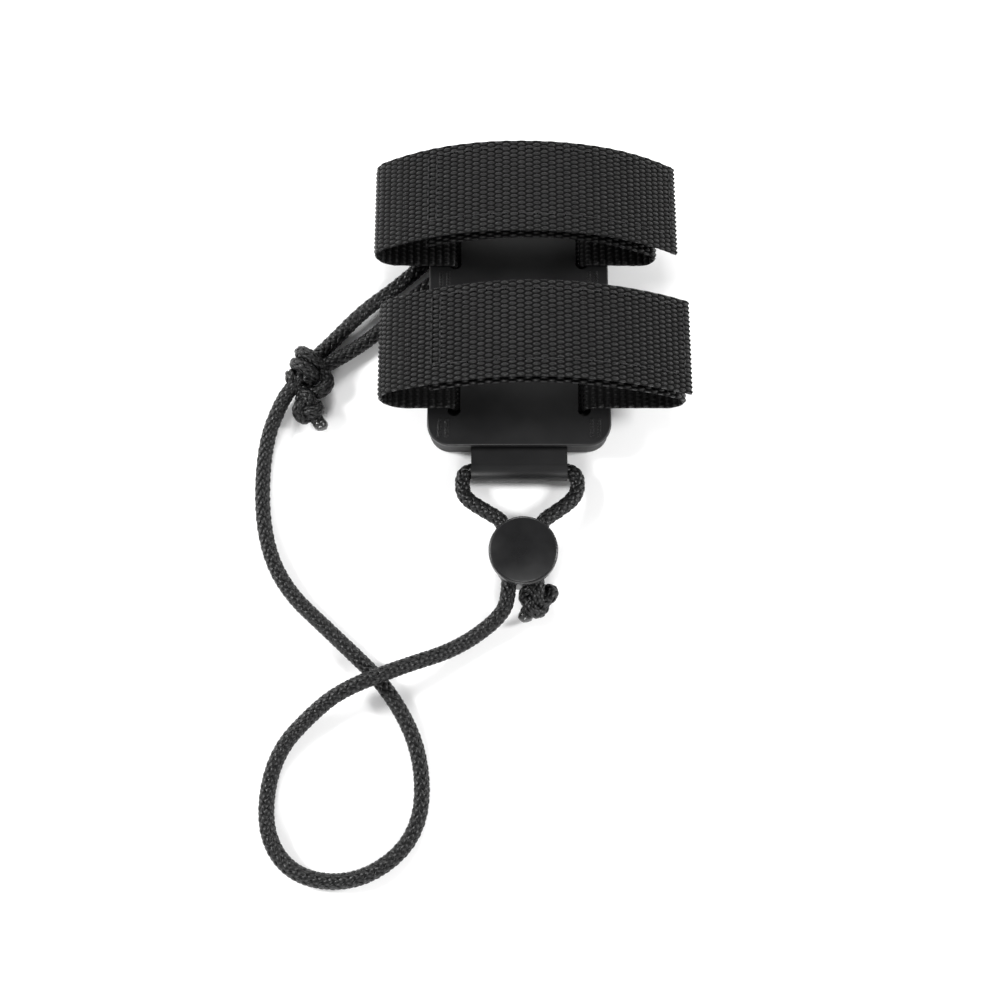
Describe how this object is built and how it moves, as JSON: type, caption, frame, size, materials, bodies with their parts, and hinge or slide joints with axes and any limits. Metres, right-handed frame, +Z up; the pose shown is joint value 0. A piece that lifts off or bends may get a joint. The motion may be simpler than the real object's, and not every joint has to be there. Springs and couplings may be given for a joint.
{
  "type": "device carrier with tether",
  "caption": "Flat carrier plate with two hook-and-loop webbing straps that close round a pack strap, and a braided cord tether with a round cord lock, a tied loop and stopper knots.",
  "frame": {"origin": "centre of the plate's underside, on the surface it rests on", "axes": "+Z up through the front panel to the straps, +Y along the plate towards the upper strap, +X across the plate towards the flaps' tips"},
  "size_m": [0.1128, 0.1969, 0.0332],
  "materials": {
    "webbing": "woven black polyester webbing",
    "thread": "black sewing thread",
    "hook_tape": "black hook tape",
    "loop_tape": "black loop tape",
    "cord": "black braided cord",
    "cord_tip": "melted cord end",
    "lock_plastic": "satin black moulded plastic",
    "spring_steel": "bright spring wire",
    "panel_sheet": "smooth satin coated sheet",
    "base_plastic": "fine-grained black moulded plastic"
  },
  "bodies": {
    "carrier": {"bartacks": "thread", "base_plate": "base_plastic", "cord_lock_barrel": "lock_plastic", "cord_lock_spring": "spring_steel", "cord_tab": "panel_sheet", "front_panel": "panel_sheet", "loop_cord_tip": "cord_tip", "loop_knot": "cord", "loop_stopper_knot": "cord", "lower_lap_stitching": "thread", "lower_loop_tape": "loop_tape", "lower_strap": "webbing", "tail_cord_tip": "cord_tip", "tail_stopper_knot": "cord", "tether_in_tab": "cord", "tether_long": "cord", "tether_loop": "cord", "tether_tail": "cord", "upper_lap_stitching": "thread", "upper_loop_tape": "loop_tape", "upper_strap": "webbing"},
    "upper_flap": {"upper_flap": "webbing", "upper_hook_tape": "hook_tape", "upper_flap_stitching": "thread"},
    "lower_flap": {"lower_flap": "webbing", "lower_hook_tape": "hook_tape", "lower_flap_stitching": "thread"},
    "lock_button": {"cord_lock_plunger": "lock_plastic"}
  },
  "joints": [
    {"name": "upper_peel", "type": "hinge", "parent": "carrier", "child": "upper_flap", "pos_m": [-0.02429, 0.0197, 0.0249], "axis": [0, -1, 0], "range_deg": [0, 120]},
    {"name": "lower_peel", "type": "hinge", "parent": "carrier", "child": "lower_flap", "pos_m": [-0.02279, -0.0208, 0.02769], "axis": [0, -1, 0], "range_deg": [0, 120]},
    {"name": "lock_press", "type": "slide", "parent": "carrier", "child": "lock_button", "axis": [0, 0, -1], "range_m": [0, 0.002], "stiffness_N_per_m": 600, "springref_m": -0.004, "deforming": ["cord_lock_spring"]}
  ]
}
